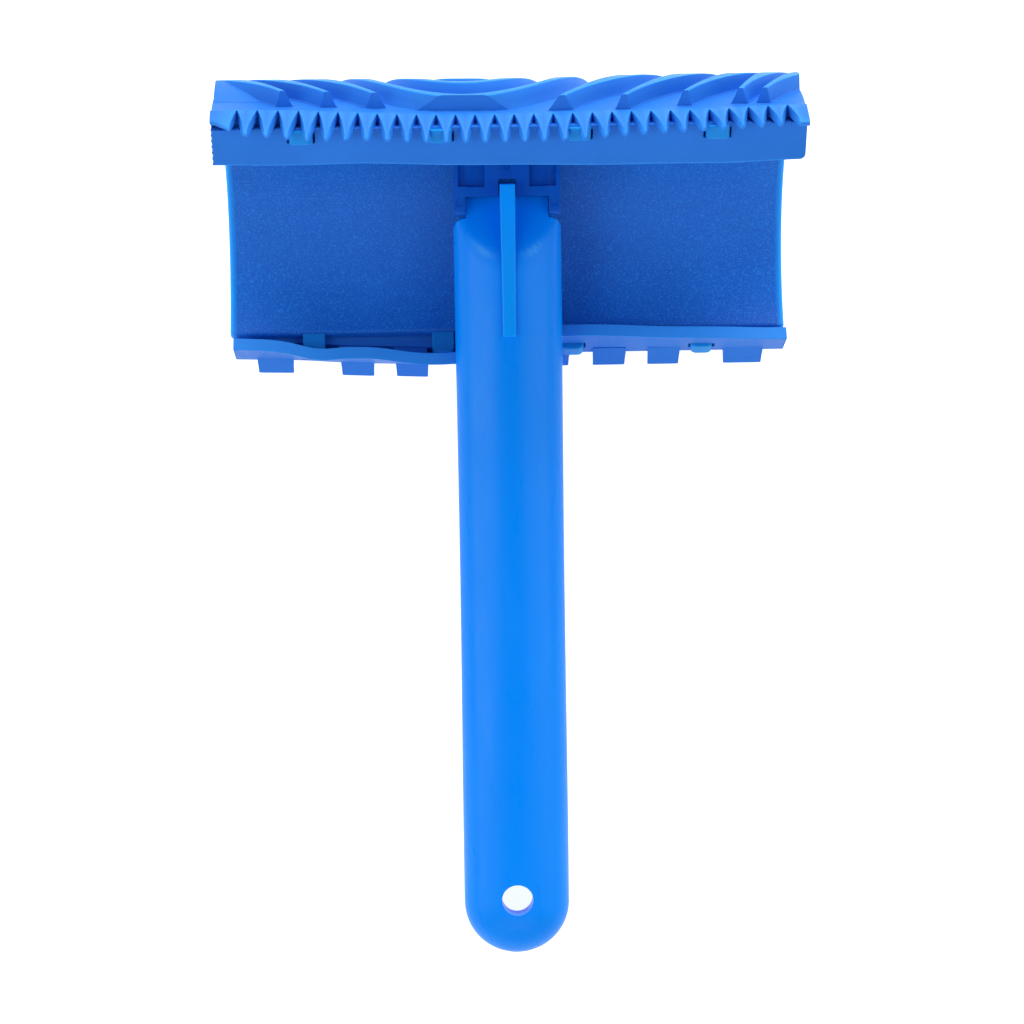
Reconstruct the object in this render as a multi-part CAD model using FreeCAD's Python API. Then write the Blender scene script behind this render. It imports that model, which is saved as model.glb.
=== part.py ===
"""Wood graining tool: a curved carrier, the rubber graining pad hooked over it, and a plug-in handle.

The model is built about the axis of the carrier's arc. An angle on the head is measured at that axis
from straight down, and grows towards the comb edge. Everything is then moved so that the origin is
the bottom centre of the whole tool as it lies on its pad and on the end of its handle.
X runs across the head, +Y from the handle's end towards the head, +Z up.
"""

import FreeCAD
import Part

import math
import os

# Head: one arc, whose width is that of a 5 inch graining pad
HEAD_WIDTH = 125.0
SHELL_R_IN = 31.0
SHELL_T = 2.6
ARC_LOW = -26.0
ARC_HIGH = 126.0
SHELL_EDGE_FILLET = 0.8

# Rubber pad
PAD_GAP = 0.05
PAD_R_IN = SHELL_R_IN + SHELL_T + PAD_GAP
PAD_R_OUT = 36.5
RIDGE_H = 3.5
RIDGE_ROOT = 1.4
RIDGE_R_OUT = PAD_R_OUT + RIDGE_H
FLANGE_T = 3.0
UPPER_FLANGE_R_IN = 26.5
LOWER_FLANGE_R_IN = 27.3

# Hooks that hold the pad: four on each end of the arc
HOOK_PITCH = 29.1
HOOK_COLUMNS = (-1.5, -0.5, 0.5, 1.5)
HOOK_W = 5.0
HOOK_PROUD = 1.6
HOOK_CORNER = 1.2
SLOT_W = 6.4
SLOT_PLAY = 0.3

# Comb along the upper edge of the pad
COMB_PITCH = 4.125
COMB_GAPS = 29
COMB_T = 2.0
COMB_ROOT_T = 3.0
COMB_LENGTH = 8.8
COMB_TURN = 4.0
COMB_ROOT_R = 37.3
TOOTH_TIP_W = 0.45

# Raised grain: each open line is (x at the lower edge, x half way, x at the upper edge, top width there)
RIDGE_END_LOW = ARC_LOW - 6.3
RIDGE_END_HIGH = 122.5
RIDGE_TOP_W = 5.4
RIDGE_FLANK = 0.6
RIDGE_FLANK_HIGH = 1.5
GRAIN = (
    (-53.0, -56.6, -53.5, 7.6),
    (-34.6, -49.6, -38.0, 1.2),
    (-22.2, -42.6, -28.0, 1.2),
    (9.5, 25.5, 11.0, 1.2),
    (22.2, 36.0, 24.0, 1.2),
    (34.6, 46.5, 37.0, 1.2),
    (53.0, 57.0, 49.0, 1.2),
)
BOW_POWER = 4

# Closed ovals inside the open lines: (x of the middle, its angle, half width, half length as an angle)
OVALS = ((-9.5, 52.0, 25.5, 70.0), (-9.5, 50.0, 11.0, 58.0))
OVAL_TOP_W = 1.6
GRAIN_STATIONS = 15

# Handle, in its own frame: y along it towards the head, z up from its open underside
HANDLE_TILT = 7.1
HANDLE_FOOT_Y = -15.0
HANDLE_FOOT_Z = 8.3 - SHELL_R_IN
GRIP_W = 23.8
GRIP_H = 12.5
GRIP_SIDE_H = 4.5
GRIP_WALL = 4.5
GRIP_END_Y = -140.5
HANG_END_LENGTH = 24.0
HANG_HOLE_R = 3.5
HANG_HOLE_IN = 2.0
SLOPE_TOP_Y = 17.6
NECK_W = 18.2
NECK_H = 5.4
NECK_Y = 26.5
TONGUE_Y0 = 31.0
TONGUE_Y1 = 39.0
TONGUE_CORNER = 1.0
SLOPE_FILLET = 2.0
GUSSET_Y = (0.6, 34.0)
GUSSET_TOP_Z = (13.5, 12.6)
GUSSET_W = (2.8, 3.4)

# Socket for the handle, in the handle's frame
SOCKET_W = 23.4
SOCKET_WALL = 2.5
SOCKET_PLAY = 0.25
SOCKET_TOP_Z = 8.4
SOCKET_FLOOR_T = 2.2
SOCKET_FLOOR_Y = 28.2
EAR_Y = 26.9
EAR_CORNER = 1.2
CROSSBAR_T = 2.2
POCKET_FLOOR_Z = 6.8
SOCKET_RIB_W = 9.8
GUSSET_NOTCH = (3.9, 3.8)
SOCKET_REACH = 60.0

X_AXIS = FreeCAD.Vector(1, 0, 0)
NODES = {}


def at(r, angle, along=0.0, x=0.0):
    """A point on the head: radius and angle about the arc's axis, then a step along the tangent."""
    a = math.radians(angle)
    y = r * math.sin(a) + along * math.cos(a)
    z = -r * math.cos(a) + along * math.sin(a)
    return FreeCAD.Vector(x, y, z)


def prism(points, width, x_mid=0.0):
    """A closed outline in the YZ plane, extruded across X."""
    start = FreeCAD.Vector(x_mid - width / 2, 0, 0)
    outline = [p + start for p in points]
    face = Part.Face(Part.makePolygon(outline + outline[:1]))
    return face.extrude(X_AXIS * width)


def box(x, y, z):
    """A box from three (low, high) pairs."""
    size = (x[1] - x[0], y[1] - y[0], z[1] - z[0])
    return Part.makeBox(*size, FreeCAD.Vector(x[0], y[0], z[0]))


def arc_sheet(r_in, r_out, low, high, width):
    """A curved sheet about the arc's axis."""
    corners = [at(r_in, low), at(r_out, low)]
    middle = (low + high) / 2
    outer = Part.Arc(at(r_out, low), at(r_out, middle), at(r_out, high)).toShape()
    inner = Part.Arc(at(r_in, high), at(r_in, middle), at(r_in, low)).toShape()
    sides = [Part.makeLine(corners[0], corners[1]), Part.makeLine(at(r_out, high), at(r_in, high))]
    face = Part.Face(Part.Wire([sides[0], outer, sides[1], inner]))
    sheet = face.extrude(X_AXIS * width)
    sheet.translate(FreeCAD.Vector(-width / 2, 0, 0))
    return sheet


def carrier_shell():
    sheet = arc_sheet(SHELL_R_IN, SHELL_R_IN + SHELL_T, ARC_LOW, ARC_HIGH, HEAD_WIDTH)
    return sheet.makeFillet(SHELL_EDGE_FILLET, side_edges(sheet))


def side_edges(sheet):
    """The two inner curved edges, at the sides of the carrier."""
    return [e for e in sheet.Edges if isinstance(e.Curve, Part.Circle) and e.Curve.Radius < SHELL_R_IN + 0.1]


def hooks(angle, outwards):
    """Four tongues that carry the shell's plate on through the pad's flange."""
    reach = (FLANGE_T + HOOK_PROUD) * outwards
    r_low = SHELL_R_IN
    r_high = SHELL_R_IN + SHELL_T
    outline = [at(r_low, angle), at(r_high, angle), at(r_high, angle, reach), at(r_low, angle, reach)]
    made = []
    for column in HOOK_COLUMNS:
        hook = prism(outline, HOOK_W, column * HOOK_PITCH)
        tip = at((r_low + r_high) / 2, angle, reach, column * HOOK_PITCH)
        corners = [e for e in hook.Edges if is_radial_corner(e, angle, tip)]
        made.append(hook.makeFillet(HOOK_CORNER, corners))
    return Part.makeCompound(made)


def is_radial_corner(edge, angle, tip):
    """True for the two radial edges at a hook's free end."""
    way = (edge.Vertexes[-1].Point - edge.Vertexes[0].Point).normalize()
    radial = at(1.0, angle)
    near = abs((edge.CenterOfMass - tip).Length - HOOK_W / 2) < 0.01
    return near and abs(abs(way.dot(radial)) - 1) < 1e-6


def flange(angle, r_in, outwards):
    """The pad's turned-in edge, with its slots for the hooks."""
    reach = FLANGE_T * outwards
    outline = [at(r_in, angle), at(PAD_R_OUT, angle), at(PAD_R_OUT, angle, reach), at(r_in, angle, reach)]
    plate = prism(outline, HEAD_WIDTH)
    low = SHELL_R_IN - SLOT_PLAY
    high = SHELL_R_IN + SHELL_T + SLOT_PLAY
    past = reach * 2
    slot = [at(low, angle, -reach), at(high, angle, -reach), at(high, angle, past), at(low, angle, past)]
    slots = [prism(slot, SLOT_W, column * HOOK_PITCH) for column in HOOK_COLUMNS]
    return plate.cut(slots)


def grain_section(x, angle, top_width, flank):
    """One cross-section of a ridge, in the radial plane at an angle."""
    half = top_width / 2
    foot = half + flank * (RIDGE_H + RIDGE_ROOT) / RIDGE_H
    r_foot = PAD_R_OUT - RIDGE_ROOT
    corners = ((r_foot, x - foot), (r_foot, x + foot), (RIDGE_R_OUT, x + half), (RIDGE_R_OUT, x - half))
    outline = [at(r, angle, 0, x_corner) for r, x_corner in corners]
    return Part.makePolygon(outline + outline[:1])


def grain_ridge(ends, angles, top_widths, flanks):
    """A ridge on a bowed path, from one angle to another, whose section changes evenly."""
    sections = []
    for i in range(GRAIN_STATIONS):
        share = i / (GRAIN_STATIONS - 1)
        angle = between(angles, share)
        width = between(top_widths, share)
        sections.append(grain_section(bowed(ends, share), angle, width, between(flanks, share)))
    return Part.makeLoft(sections, True)


def between(ends, share):
    return ends[0] + (ends[1] - ends[0]) * share


def bowed(ends, share):
    """The sideways place of a ridge, which bows between its ends and bends most near them."""
    low, middle, high = ends
    away = 1 - abs(2 * share - 1) ** BOW_POWER
    return between((low, high), share) + (middle - (low + high) / 2) * away


def grain_ridges():
    ridges = []
    flanks = (RIDGE_FLANK, RIDGE_FLANK_HIGH)
    for low, middle, high, top_width in GRAIN:
        widths = (RIDGE_TOP_W, top_width)
        ridges.append(grain_ridge((low, middle, high), (RIDGE_END_LOW, RIDGE_END_HIGH), widths, flanks))
    for x_mid, angle_mid, half_width, half_angle in OVALS:
        angles = (angle_mid - half_angle, angle_mid + half_angle)
        for side in (-1, 1):
            ends = (x_mid, x_mid + side * half_width, x_mid)
            ridges.append(grain_ridge(ends, angles, (OVAL_TOP_W, OVAL_TOP_W), flanks))
    return ridges


def graining_pad():
    """The working sheet of the pad, with its raised grain."""
    sheet = arc_sheet(PAD_R_IN, PAD_R_OUT, ARC_LOW, ARC_HIGH, HEAD_WIDTH)
    for ridge in grain_ridges():
        sheet = sheet.fuse(ridge)
    return sheet.removeSplitter()


def comb(neighbours):
    """The toothed lip. It carries the pad's outer face on past the upper flange."""
    turn = ARC_HIGH + COMB_TURN
    along = at(0, turn, 1)
    inwards = at(-1, turn)
    apex = at(COMB_ROOT_R, ARC_HIGH)
    tip = apex + along * COMB_LENGTH
    heel = at(PAD_R_OUT - 0.5, ARC_HIGH - 6)
    strip = [heel, apex, tip, tip + inwards * COMB_T, apex + inwards * COMB_ROOT_T]
    lip = prism(strip, HEAD_WIDTH)
    half_gap = (COMB_PITCH - TOOTH_TIP_W) / 2
    gaps = []
    for i in range(COMB_GAPS):
        x = (i - (COMB_GAPS - 1) / 2) * COMB_PITCH
        gaps.append(comb_gap(x, apex, tip, inwards, half_gap))
    return lip.cut(gaps).cut(neighbours)


def comb_gap(x, apex, tip, inwards, half_gap):
    """One V between two teeth, cut square through the lip."""
    middle = FreeCAD.Vector(x, 0, 0)
    side = X_AXIS * half_gap
    outside = inwards * -1.0
    start = apex + middle + outside
    end = tip + middle + outside
    face = Part.Face(Part.makePolygon([start, end - side, end + side, start]))
    return face.extrude(inwards * (COMB_ROOT_T + 2))


def grip_outline(side_wall, top_wall, z_low):
    """Half of the grip's cross-section, from its open side over the crown to its middle."""
    half = GRIP_W / 2 - side_wall
    crown = GRIP_H - top_wall
    base = FreeCAD.Vector(half, 0, z_low)
    shoulder = FreeCAD.Vector(half, 0, GRIP_SIDE_H)
    middle_top = FreeCAD.Vector(0, 0, crown)
    centre = FreeCAD.Vector(0, 0, GRIP_SIDE_H)
    ellipse = Part.Ellipse(shoulder, middle_top, centre)
    quarter = Part.ArcOfEllipse(ellipse, 0, math.pi / 2).toShape()
    foot = FreeCAD.Vector(0, 0, z_low)
    edges = [Part.makeLine(base, shoulder), quarter, Part.makeLine(middle_top, foot), Part.makeLine(foot, base)]
    return Part.Face(Part.Wire(Part.__sortEdges__(edges)))


def grip_bar(y_high, side_wall=0.0, top_wall=0.0, z_low=0.0):
    """The crowned bar, solid, from the centre of its round end."""
    y_turn = GRIP_END_Y + GRIP_W / 2
    half = grip_outline(side_wall, top_wall, z_low)
    half.translate(FreeCAD.Vector(0, y_turn, 0))
    right = half.extrude(FreeCAD.Vector(0, y_high - y_turn, 0))
    left = right.mirror(FreeCAD.Vector(0, 0, 0), X_AXIS)
    return right.fuse(left).removeSplitter()


def round_end(side_wall=0.0, top_wall=0.0, z_low=0.0):
    """The grip's round end, solid but for its very middle, which lies inside the hang hole."""
    y_turn = GRIP_END_Y + GRIP_W / 2
    half = grip_outline(side_wall, top_wall, z_low).cut(box((-1, 1), (-1, 1), (-3, GRIP_H + 1)))
    half.translate(FreeCAD.Vector(0, y_turn, 0))
    return half.revolve(FreeCAD.Vector(0, y_turn, 0), FreeCAD.Vector(0, 0, 1), -180).toNurbs()


def below_slope(inset):
    """The space under the handle's sloped end, set in by a wall."""
    run = TONGUE_Y0 - SLOPE_TOP_Y
    rise = GRIP_H - NECK_H
    steep = rise / run
    drop = inset * math.hypot(1, steep)
    y_far = GRIP_END_Y - 1
    top = GRIP_H + 5
    y_top = TONGUE_Y0 - (top - NECK_H + drop) / steep
    z_end = NECK_H - drop
    y_near = TONGUE_Y0 - inset
    points = [(y_far, -2), (y_near, -2), (y_near, z_end + inset * steep), (y_top, top), (y_far, top)]
    return prism([FreeCAD.Vector(0, y, z) for y, z in points], GRIP_W + 2)


def shoulder_cuts():
    """What the neck's narrowing takes from each side of the grip, with a round shoulder."""
    step = (GRIP_W - NECK_W) / 2
    cuts = []
    for side in (-1, 1):
        centre = FreeCAD.Vector(side * NECK_W / 2, NECK_Y - step, -1)
        block = box(sorted((side * NECK_W / 2, side * GRIP_W)), (NECK_Y - step, TONGUE_Y1), (-1, GRIP_H + 1))
        cuts.append(block.cut(Part.makeCylinder(step, GRIP_H + 3, centre)))
    return cuts


def handle_grip():
    """The grip's long channel: a crowned shell, open below, that closes at its sloped end."""
    grip = grip_bar(TONGUE_Y0).common(below_slope(0)).cut(shoulder_cuts())
    crest = [e for e in grip.Edges if is_crest(e)]
    grip = grip.makeFillet(SLOPE_FILLET, crest)
    hollow = grip_bar(NECK_Y - GRIP_WALL, GRIP_WALL, GRIP_WALL, -1).common(below_slope(GRIP_WALL))
    end_space = box((-GRIP_W, GRIP_W), (GRIP_END_Y - 1, GRIP_END_Y + HANG_END_LENGTH), (-2, GRIP_H + 1))
    return grip.cut([hollow, end_space]).removeSplitter()


def handle_hang_end():
    """The grip's round end, with the hole to hang it by."""
    y_part = GRIP_END_Y + HANG_END_LENGTH
    y_hole = GRIP_END_Y + GRIP_W / 2 + HANG_HOLE_IN
    hole = Part.makeCylinder(HANG_HOLE_R, GRIP_H + 2, FreeCAD.Vector(0, y_hole, -1))
    walls = (GRIP_WALL, GRIP_WALL, -1)
    straight = grip_bar(y_part).cut([grip_bar(y_part + 1, *walls), hole])
    turned = round_end().cut([round_end(*walls), hole])
    return straight.fuse(turned).removeSplitter()


def is_crest(edge):
    """True for the long edges where the crown meets the sloped end."""
    middle = edge.valueAt((edge.FirstParameter + edge.LastParameter) / 2)
    return SLOPE_TOP_Y < middle.y < NECK_Y and middle.z > GRIP_SIDE_H and edge.Length > NECK_W / 2


def handle_tongue():
    half = NECK_W / 2
    tongue = box((-half, half), (TONGUE_Y0, TONGUE_Y1), (0, NECK_H))
    corners = [e for e in tongue.Edges if is_upright(e) and e.CenterOfMass.y > TONGUE_Y1 - 0.1]
    return tongue.makeFillet(TONGUE_CORNER, corners)


def is_upright(edge):
    way = edge.Vertexes[-1].Point - edge.Vertexes[0].Point
    return abs(way.x) + abs(way.y) < 1e-6


def gusset_rib(grip):
    """The web that stands on the slope and the neck, and ends square on the crown."""
    low, high = GUSSET_Y
    wires = []
    for y, top, width in ((low, GUSSET_TOP_Z[0], GUSSET_W[0]), (high, GUSSET_TOP_Z[1], GUSSET_W[1])):
        half = width / 2
        corners = [(-half, NECK_H), (half, NECK_H), (half, top), (-half, top), (-half, NECK_H)]
        wires.append(Part.makePolygon([FreeCAD.Vector(x, y, z) for x, z in corners]))
    web = Part.makeLoft(wires, True, True)
    outside = web.cut(grip).Solids
    return max(outside, key=lambda solid: solid.CenterOfMass.z)


def handle_socket():
    half = SOCKET_W / 2
    inner = half - SOCKET_WALL
    floor_z = -SOCKET_PLAY - SOCKET_FLOOR_T
    crossbar_y = TONGUE_Y0 + SOCKET_PLAY / 2
    y_end = SOCKET_REACH
    body = box((-half, half), (EAR_Y, y_end), (floor_z, SOCKET_TOP_Z))
    ear_corners = [e for e in body.Edges if e.CenterOfMass.y < EAR_Y + 0.1 and not is_upright(e)]
    body = body.makeFillet(EAR_CORNER, [e for e in ear_corners if abs(e.CenterOfMass.z) > 1])
    slot_top = NECK_H + SOCKET_PLAY
    slot_end = TONGUE_Y1 + 2 * SOCKET_PLAY
    notch_half = GUSSET_NOTCH[0] / 2
    cuts = [
        box((-inner, inner), (EAR_Y - 1, slot_end), (-SOCKET_PLAY, slot_top)),
        box((-inner, inner), (EAR_Y - 1, crossbar_y), (-SOCKET_PLAY, SOCKET_TOP_Z + 1)),
        box((-inner, inner), (EAR_Y - 1, SOCKET_FLOOR_Y), (floor_z - 1, SOCKET_TOP_Z + 1)),
        box((-notch_half, notch_half), (EAR_Y, crossbar_y + GUSSET_NOTCH[1]), (0, SOCKET_TOP_Z + 1)),
    ]
    for side in (-1, 1):
        x = sorted((side * SOCKET_RIB_W / 2, side * inner))
        cuts.append(box(x, (crossbar_y + CROSSBAR_T, y_end), (POCKET_FLOOR_Z, SOCKET_TOP_Z + 1)))
    socket = placed(body.cut(cuts))
    inside = Part.makeCylinder(SHELL_R_IN, SOCKET_W + 2, FreeCAD.Vector(-SOCKET_W / 2 - 1, 0, 0), X_AXIS)
    return socket.common(inside)


def placed(shape):
    """Moves a shape from the handle's frame to the head's."""
    moved = shape.copy()
    moved.rotate(FreeCAD.Vector(0, 0, 0), X_AXIS, HANDLE_TILT)
    moved.translate(FreeCAD.Vector(0, HANDLE_FOOT_Y, HANDLE_FOOT_Z))
    return moved


def build():
    pad = graining_pad()
    upper_flange = flange(ARC_HIGH, UPPER_FLANGE_R_IN, 1)
    lower_flange = flange(ARC_LOW, LOWER_FLANGE_R_IN, -1)
    grip = handle_grip()
    NODES["carrier_shell"] = carrier_shell()
    NODES["handle_socket"] = handle_socket()
    NODES["upper_pad_hooks"] = hooks(ARC_HIGH, 1)
    NODES["lower_pad_hooks"] = hooks(ARC_LOW, -1)
    NODES["graining_pad"] = pad
    NODES["pad_upper_flange"] = upper_flange
    NODES["pad_lower_flange"] = lower_flange.cut(pad)
    NODES["pad_comb"] = comb([pad, upper_flange])
    NODES["handle_grip"] = placed(grip)
    NODES["handle_hang_end"] = placed(handle_hang_end())
    NODES["handle_tongue"] = placed(handle_tongue())
    NODES["handle_gusset"] = placed(gusset_rib(grip))


def bottom_centre(shapes):
    """The middle of the lowest face of the box around all the shapes."""
    whole = Part.makeCompound(shapes).optimalBoundingBox(False, False)
    return FreeCAD.Vector(whole.Center.x, whole.Center.y, whole.ZMin)


def export():
    os.makedirs("parts", exist_ok=True)
    origin = bottom_centre(list(NODES.values()))
    for name, shape in NODES.items():
        shape.translate(origin * -1)
        shape.exportStep(f"parts/{name}.step")
        kinds = "valid" if shape.isValid() else "NOT VALID"
        print(name, kinds, len(shape.Solids), "solids", round(shape.Volume / 1000, 3), "cm3", len(shape.Faces), "faces")
    size = Part.makeCompound(list(NODES.values())).optimalBoundingBox(False, False)
    print("moved by", origin * -1, "box", size)


build()
export()
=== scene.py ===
"""Looks of the wood graining tool: carrier shell, rubber graining pad with comb, and plug-in handle.

Lengths are in millimetres inside the shape functions and become metres where a point is placed.
An angle on the head is measured at the axis of the carrier's arc, from straight down towards the comb.
"""

import math
import random

import bmesh
import bpy
from mathutils import Euler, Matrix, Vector


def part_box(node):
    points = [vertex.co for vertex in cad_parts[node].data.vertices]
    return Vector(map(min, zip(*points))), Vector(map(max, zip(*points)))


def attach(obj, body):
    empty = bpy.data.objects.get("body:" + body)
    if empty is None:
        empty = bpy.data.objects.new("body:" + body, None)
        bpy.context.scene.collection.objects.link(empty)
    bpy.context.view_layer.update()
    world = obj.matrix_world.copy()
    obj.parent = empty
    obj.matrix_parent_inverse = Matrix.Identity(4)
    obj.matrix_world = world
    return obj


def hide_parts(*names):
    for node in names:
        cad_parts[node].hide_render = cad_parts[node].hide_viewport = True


MM = 0.001
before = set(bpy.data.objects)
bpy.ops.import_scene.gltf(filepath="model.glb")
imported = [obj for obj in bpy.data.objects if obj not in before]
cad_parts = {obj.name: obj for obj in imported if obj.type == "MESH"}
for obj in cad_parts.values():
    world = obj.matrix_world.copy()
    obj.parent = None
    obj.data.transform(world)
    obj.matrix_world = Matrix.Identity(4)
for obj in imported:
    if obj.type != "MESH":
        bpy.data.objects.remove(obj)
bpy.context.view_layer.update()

# The carrier's arc, placed by the CAD shell
SHELL_R_IN = 31.0
SHELL_R_OUT = 33.6
shell_low, shell_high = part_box("carrier_shell")
AXIS = Vector((0, shell_high.y - SHELL_R_OUT * MM, shell_low.z + SHELL_R_OUT * MM))
ARC_LOW = -26.0
ARC_HIGH = 126.0
HALF_WIDTH = 62.5

# Hooks: half of one's outline as (x, share of its reach), their places, and the slots they pass through
HOOK_OUTLINE = ((-2.5, 0.0), (-2.5, 0.74), (-2.36, 0.87), (-1.95, 0.955), (-1.3, 1.0))
HOOKS_X = (-43.65, -14.55, 14.55, 43.65)
HOOK_PAST_FLANGE = 1.6
HOOK_RISE_IN = 0.8
BARB = 1.4
SLOT_HALF = 2.9
SLOT_R = (31.4, 33.8)

# Socket: ejector marks as (middle, radius, depth), and what is cut from each side wall, so that the
# pockets reach almost to the socket's sides, as (middle, size)
EAR_MARKS = (
    ((-10.4, 30.0, 8.4), 1.0, 0.25),
    ((10.4, 30.0, 8.4), 1.0, 0.25),
    ((0.0, 38.0, 8.4), 1.0, 0.25),
)
POCKETS = (
    ((-9.7, 43.45, 8.9), (2.2, 20.0, 4.0)),
    ((9.7, 43.45, 8.9), (2.2, 20.0, 4.0)),
)

# Rubber pad and its turned-in edges
PAD_R_IN = 33.7
PAD_R = 36.5
FLANGE_T = 3.0
FLANGE_ROW = 0.34
FLANGE_COLUMN = 2.4
UPPER_ROOT_R = 34.75
UPPER_EDGE_R = 26.5
LOWER_EDGE_R = 27.3
CORNER_R = 1.2

# Ridges on the pad: their height, and the planes that cut them at the lower edge and at the sides
RIDGE_H = 3.45
RIDGE_LOW = -32.2
RIDGE_END_LEAN = 0.08
RIDGE_ROOT = 0.5
RIDGE_SIDE = 62.3
SIDE_STEP = 0.05
CUT_RIM = 0.09
ROW_ANGLE = 2.0

# Where the pad's lower edge is sprung off the hooks, left of LOOSE_X, how far up the pad that is felt,
# and the angles between which the upper part becomes tight
TIGHT_X = 9.0
LOOSE_X = -13.0
LOOSE_ANGLE = 24.0
TIGHT_ANGLES = (50.0, 85.0)

# How the open lines bow out, and where the ovals and the raised corner end below the comb
STRAIGHT_START = 16.0
BOW_POWER = 1.8
BACK_HALF = 4.4
OVAL_END = 122.3
CORNER_TOP = 99.0
CORNER_FOOT = 113.0

# Comb
COMB_PITCH = 4.125
COMB_GAPS = 29
TIP_HALF = 0.2
COMB_END = 1.2
COMB_END_ZONE = 3.0

# Rows where the comb's lip grows out of the sheet: share of its rise, depth, angle and mark
ROOT_ROWS = ((-0.05, 0.9, 118.5, -2.0), (0.06, 1.1, 121.5, -1.4), (0.45, 1.3, 124.2, -0.6))
TOOTH_ROWS = (0.0, 0.2, 0.4, 0.6, 0.8, 0.94, 1.0)

# Handle, in its own frame
TILT = math.radians(7.1)
FOOT_Y = -15.0
FOOT_Z = 8.3 - SHELL_R_IN
GRIP_HALF = 11.9
GRIP_SIDE_H = 4.5
GRIP_H = 12.5
GRIP_WALL = 4.5
GRIP_END = -140.5
TURN_Y = GRIP_END + GRIP_HALF
HOLE_Y = TURN_Y + 2.0
HOLE_R = 3.5
PATCH_Y = -112.0
SLOPE_Y = 17.6
TONGUE_Y = 31.0
NECK_HALF = 9.1
NECK_H = 5.4
SHOULDER_Y = 23.7
SHOULDER_R = GRIP_HALF - NECK_HALF
SLOPE_START = 12.0
HOLLOW_END = 22.45
WALL_STEPS = (0.0, 0.35, 0.7)
WALL_FOOT = 0.55
ARC_STEPS = 64
SPOKES = 14

rng = random.Random(7)


def head_vector(angle_deg):
    """Unit vectors out from the arc's axis, and along its tangent."""
    a = math.radians(angle_deg)
    return Vector((0, math.sin(a), -math.cos(a))), Vector((0, math.cos(a), math.sin(a)))


def head_point(r, angle, along=0.0, x=0.0):
    out, tangent = head_vector(angle)
    return AXIS + (out * r + tangent * along + Vector((x, 0, 0))) * MM


def handle_point(x, y, z):
    c, s = math.cos(TILT), math.sin(TILT)
    local = Vector((x, y * c - z * s + FOOT_Y, y * s + z * c + FOOT_Z))
    return AXIS + local * MM


def smooth(low, high, value):
    t = min(max((value - low) / (high - low), 0.0), 1.0)
    return t * t * (3 - 2 * t)


def mix(a, b, t):
    return a + (b - a) * t


def new_piece(name, points, faces, painted_edge_light=None, sharp=35.0):
    """A mesh object with smooth shading, sharp only at real edges."""
    mesh = bpy.data.meshes.new(name)
    mesh.from_pydata([tuple(p) for p in points], [], faces)
    mesh.validate()
    bm = bmesh.new()
    bm.from_mesh(mesh)
    bmesh.ops.recalc_face_normals(bm, faces=bm.faces)
    bm.to_mesh(mesh)
    bm.free()
    # How much painted highlight each point gets, from 0 to 1
    glow = mesh.attributes.new("painted_edge_light", "FLOAT", "POINT")
    glow.data.foreach_set("value", painted_edge_light or [0.0] * len(points))
    mesh.shade_smooth()
    mesh.set_sharp_from_angle(angle=math.radians(sharp))
    for polygon in mesh.polygons:
        polygon.use_smooth = len(polygon.vertices) < 5
    piece = bpy.data.objects.new(name, mesh)
    bpy.context.collection.objects.link(piece)
    return piece


def bevel(piece, width, segments=3, angle=40.0):
    modifier = piece.modifiers.new("edges", "BEVEL")
    modifier.width = width * MM
    modifier.segments = segments
    modifier.limit_method = "ANGLE"
    modifier.angle_limit = math.radians(angle)
    modifier.harden_normals = False
    return modifier


def thick_faces(outer, inner, faces):
    """Closes two matching surfaces into one solid, with walls along their open edges."""
    step = len(outer)
    made = list(faces) + [tuple(step + i for i in reversed(face)) for face in faces]
    used = {}
    for face in faces:
        for a, b in zip(face, face[1:] + face[:1]):
            used[frozenset((a, b))] = None if frozenset((a, b)) in used else (a, b)
    for pair in used.values():
        if pair:
            a, b = pair
            made.append((b, a, step + a, step + b))
    return list(outer) + list(inner), made


def grid_faces(columns, rows, present=lambda i, j: True):
    """The quads of a grid with so many columns and rows, whose points are counted up each column."""
    faces = []
    for i in range(columns - 1):
        for j in range(rows - 1):
            if present(i, j):
                a = i * rows + j
                faces.append((a, a + 1, a + rows + 1, a + rows))
    return faces


def slab(name, columns, rows, place, present=lambda i, j: True, glow=None):
    """A sheet of some thickness on a grid. place(column, row, side) gives each point, side 0 out and 1 in."""
    points = [[place(u, v, side) for u in columns for v in rows] for side in (0, 1)]
    both, made = thick_faces(points[0], points[1], grid_faces(len(columns), len(rows), present))
    shine = [glow(u, v, side) for side in (0, 1) for u in columns for v in rows] if glow else None
    return new_piece(name, both, made, shine)


def spread(low, high, step):
    count = max(1, round((high - low) / step))
    return [low + (high - low) * i / count for i in range(count + 1)]


def with_breaks(low, high, step, breaks):
    """Even steps between given break points."""
    marks = sorted({low, high, *breaks})
    values = [low]
    for a, b in zip(marks, marks[1:]):
        values += spread(a, b, step)[1:]
    return values


# ---------------------------------------------------------------- materials

CARRIER = (0.004, 0.130, 0.58)
CARRIER_DEEP = (0.003, 0.110, 0.52)
CARRIER_LIGHT = (0.02, 0.24, 0.80)
# Painted light along the head's thin side edges
CARRIER_PAINTED_SIDE_LIGHT = (0.002, 0.34, 0.98)
# The socket is the carrier's plastic in a smoother finish, its blue painted darker for the shade deep in the
# arc
SOCKET_PAINTED_SHADE = (0.001, 0.085, 0.46)
SOCKET_PAINTED_SHADE_DEEP = (0.001, 0.075, 0.42)
SOCKET_GLOW = (0.002, 0.14, 0.60)
# The hooks are the carrier's plastic, painted paler for the light they catch; the third colour is for flow
# lines and painted highlights
HOOK_PAINTED_LIGHT = (0.006, 0.20, 0.62)
HOOK_PAINTED_LIGHT_DEEP = (0.005, 0.17, 0.56)
HOOK_FLOW_AND_PAINTED_HIGHLIGHT = (0.01, 0.26, 0.72)
HANDLE = (0.0, 0.240, 0.92)
HANDLE_DEEP = (0.0, 0.230, 0.90)
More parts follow.
